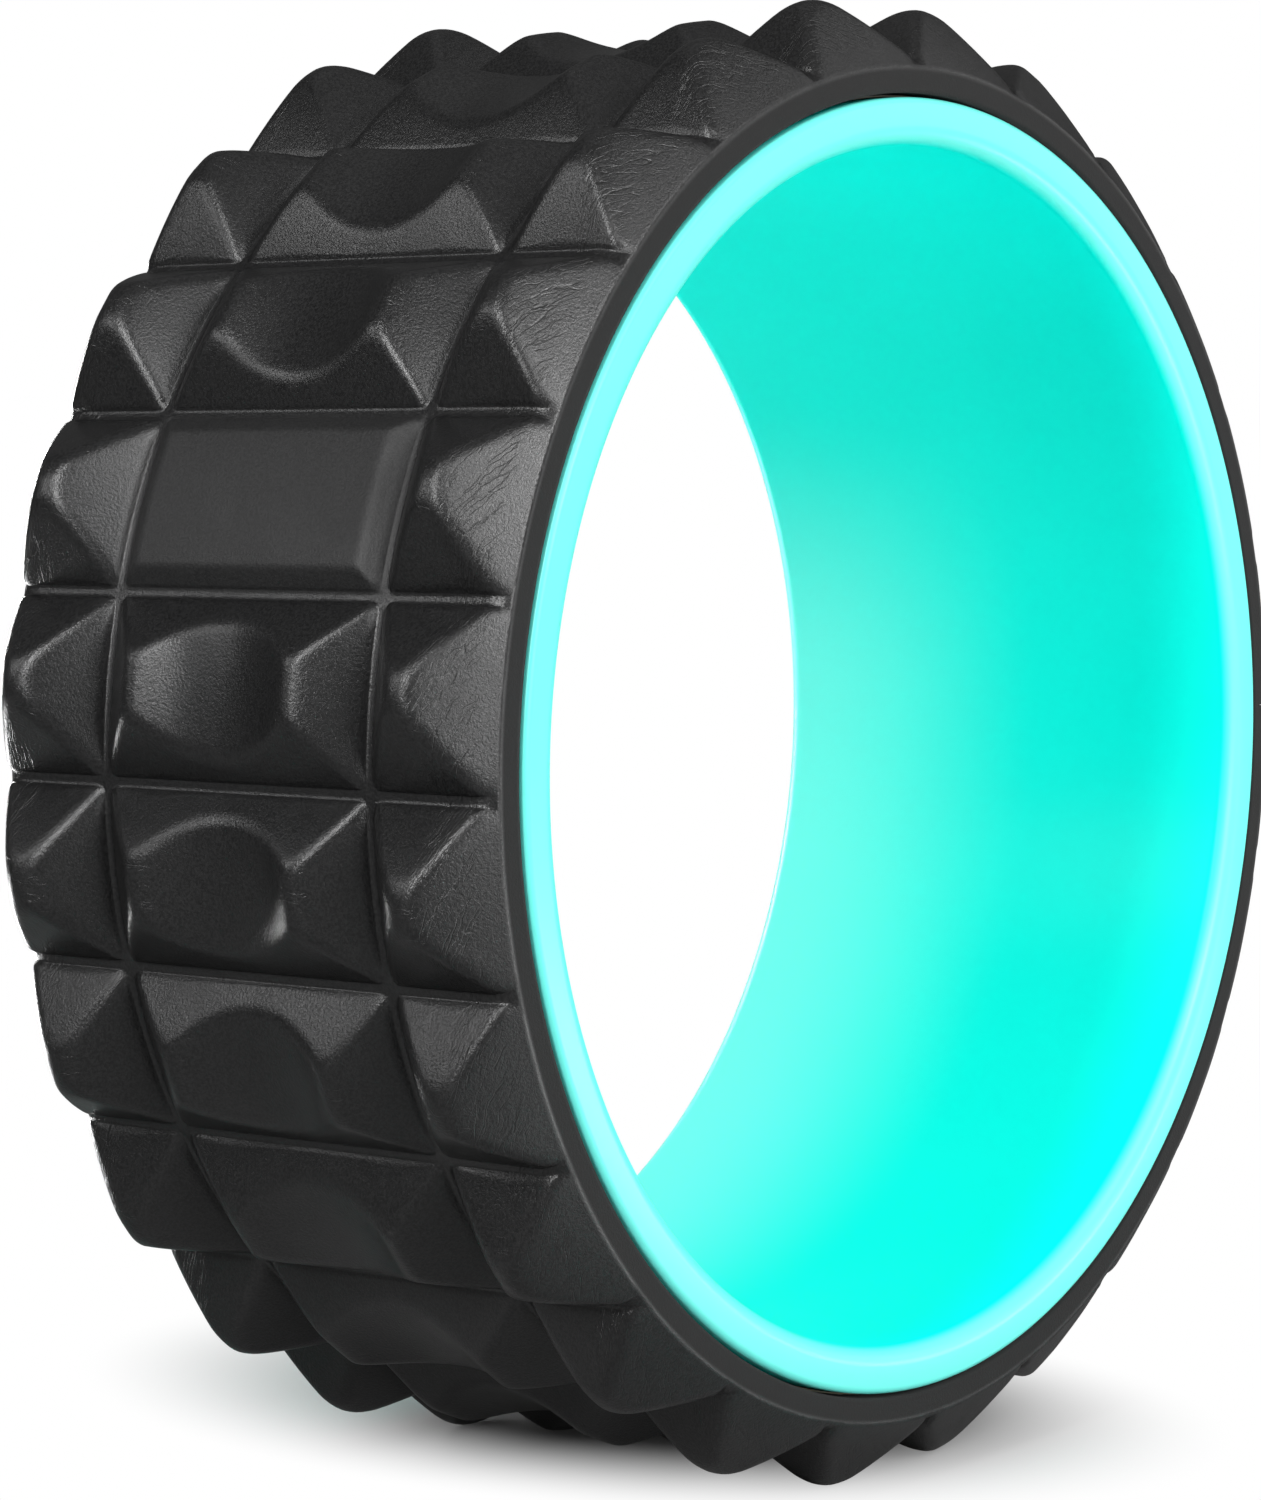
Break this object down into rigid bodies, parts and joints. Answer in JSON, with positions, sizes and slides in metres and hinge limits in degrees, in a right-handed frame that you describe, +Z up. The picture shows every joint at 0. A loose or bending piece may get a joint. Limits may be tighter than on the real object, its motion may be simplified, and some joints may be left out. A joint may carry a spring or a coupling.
{
  "type": "back roller wheel",
  "caption": "Wide ring of rigid plastic under a soft foam tread of peaked blocks, with a shallow channel round its middle for the spine, for lying back on and rolling.",
  "frame": {"origin": "centre of the wheel, on its axis and midway between the two rims", "axes": "+Y along the wheel's axis towards the far rim, +Z up as it stands on its tread, -Y the rim that the picture shows"},
  "size_m": [0.31, 0.1274, 0.31],
  "materials": {
    "mint_plastic": "smooth moulded gloss",
    "clear_glue": "dried contact glue",
    "black_foam": "fine-grained moulded skin with small creases"
  },
  "bodies": {
    "root": {"core_ring": "mint_plastic", "bond_film": "clear_glue", "foam_tread": "black_foam"}
  },
  "joints": []
}
